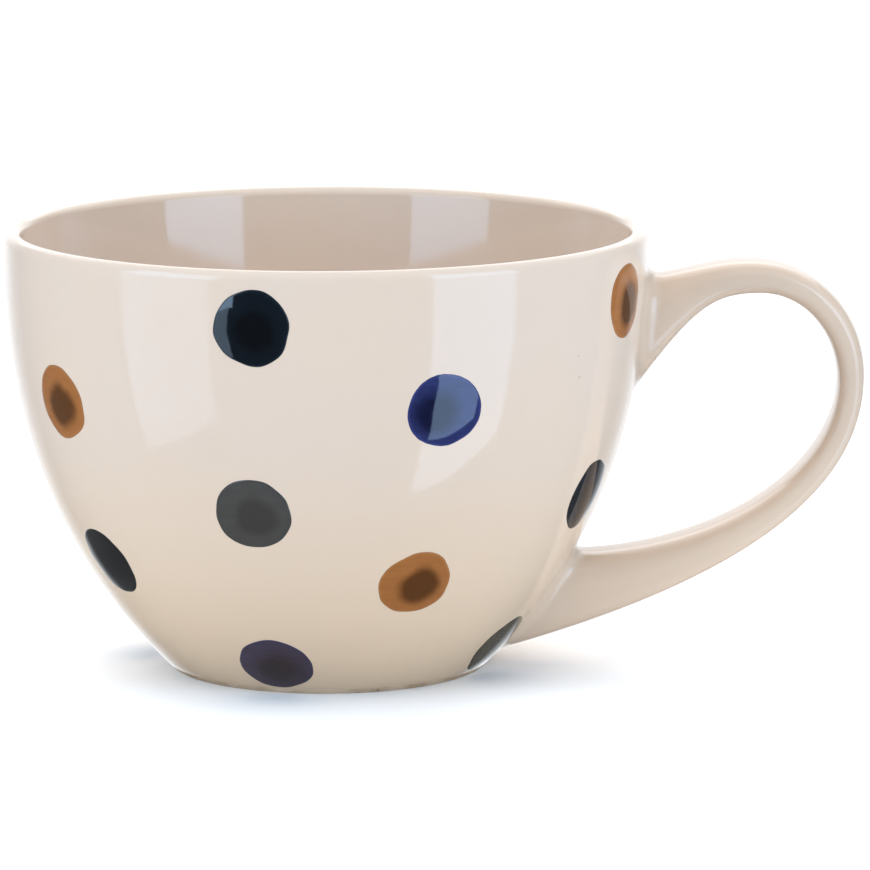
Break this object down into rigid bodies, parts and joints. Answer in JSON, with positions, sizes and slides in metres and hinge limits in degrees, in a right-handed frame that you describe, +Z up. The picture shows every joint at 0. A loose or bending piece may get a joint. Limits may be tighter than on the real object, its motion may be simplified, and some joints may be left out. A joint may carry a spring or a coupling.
{
  "type": "stoneware mug",
  "caption": "Wide rounded stoneware mug with a narrow foot, a curved strap handle and a cream glaze with hand-dabbed coloured dots.",
  "frame": {"origin": "centre of the foot ring, on the bowl's axis, in the plane that stands on the table", "axes": "+Z up along the bowl's axis, +X from the axis towards the handle, +Y to the left of the handle seen from outside"},
  "size_m": [0.15, 0.1124, 0.077],
  "materials": {
    "bare_clay": "unglazed stoneware, matt and slightly sandy",
    "cream_glaze": "warm cream glaze, glossy",
    "ochre_glaze": "ochre brushed glaze with a darker brown middle, glossy",
    "black_glaze": "blue-black brushed glaze, glossy",
    "navy_glaze": "dark navy brushed glaze, glossy",
    "cobalt_glaze": "cobalt blue brushed glaze, glossy",
    "indigo_glaze": "greyed indigo brushed glaze, glossy",
    "slate_glaze": "slate grey brushed glaze, glossy",
    "teal_glaze": "near-black teal brushed glaze, glossy",
    "olive_glaze": "dark olive grey brushed glaze, glossy"
  },
  "bodies": {
    "root": {"bowl": "bare_clay", "bowl_glaze": "cream_glaze", "base_glaze": "cream_glaze", "handle": "bare_clay", "handle_glaze": "cream_glaze", "upper_handle_slip": "cream_glaze", "lower_handle_slip": "cream_glaze", "ochre_dot_1_top": "ochre_glaze", "black_dot_1_mid": "black_glaze", "olive_dot_1_low": "olive_glaze", "cobalt_dot_2_high": "cobalt_glaze", "ochre_dot_2_low": "ochre_glaze", "navy_dot_3_top": "navy_glaze", "slate_dot_3_mid": "slate_glaze", "indigo_dot_3_low": "indigo_glaze", "ochre_dot_4_high": "ochre_glaze", "teal_dot_4_low": "teal_glaze", "cobalt_dot_5_top": "cobalt_glaze", "ochre_dot_5_mid": "ochre_glaze", "black_dot_5_low": "black_glaze", "navy_dot_6_high": "navy_glaze", "indigo_dot_6_low": "indigo_glaze", "teal_dot_7_top": "teal_glaze", "slate_dot_7_mid": "slate_glaze", "ochre_dot_7_low": "ochre_glaze", "indigo_dot_8_high": "indigo_glaze", "ochre_dot_8_low": "ochre_glaze"}
  },
  "joints": []
}
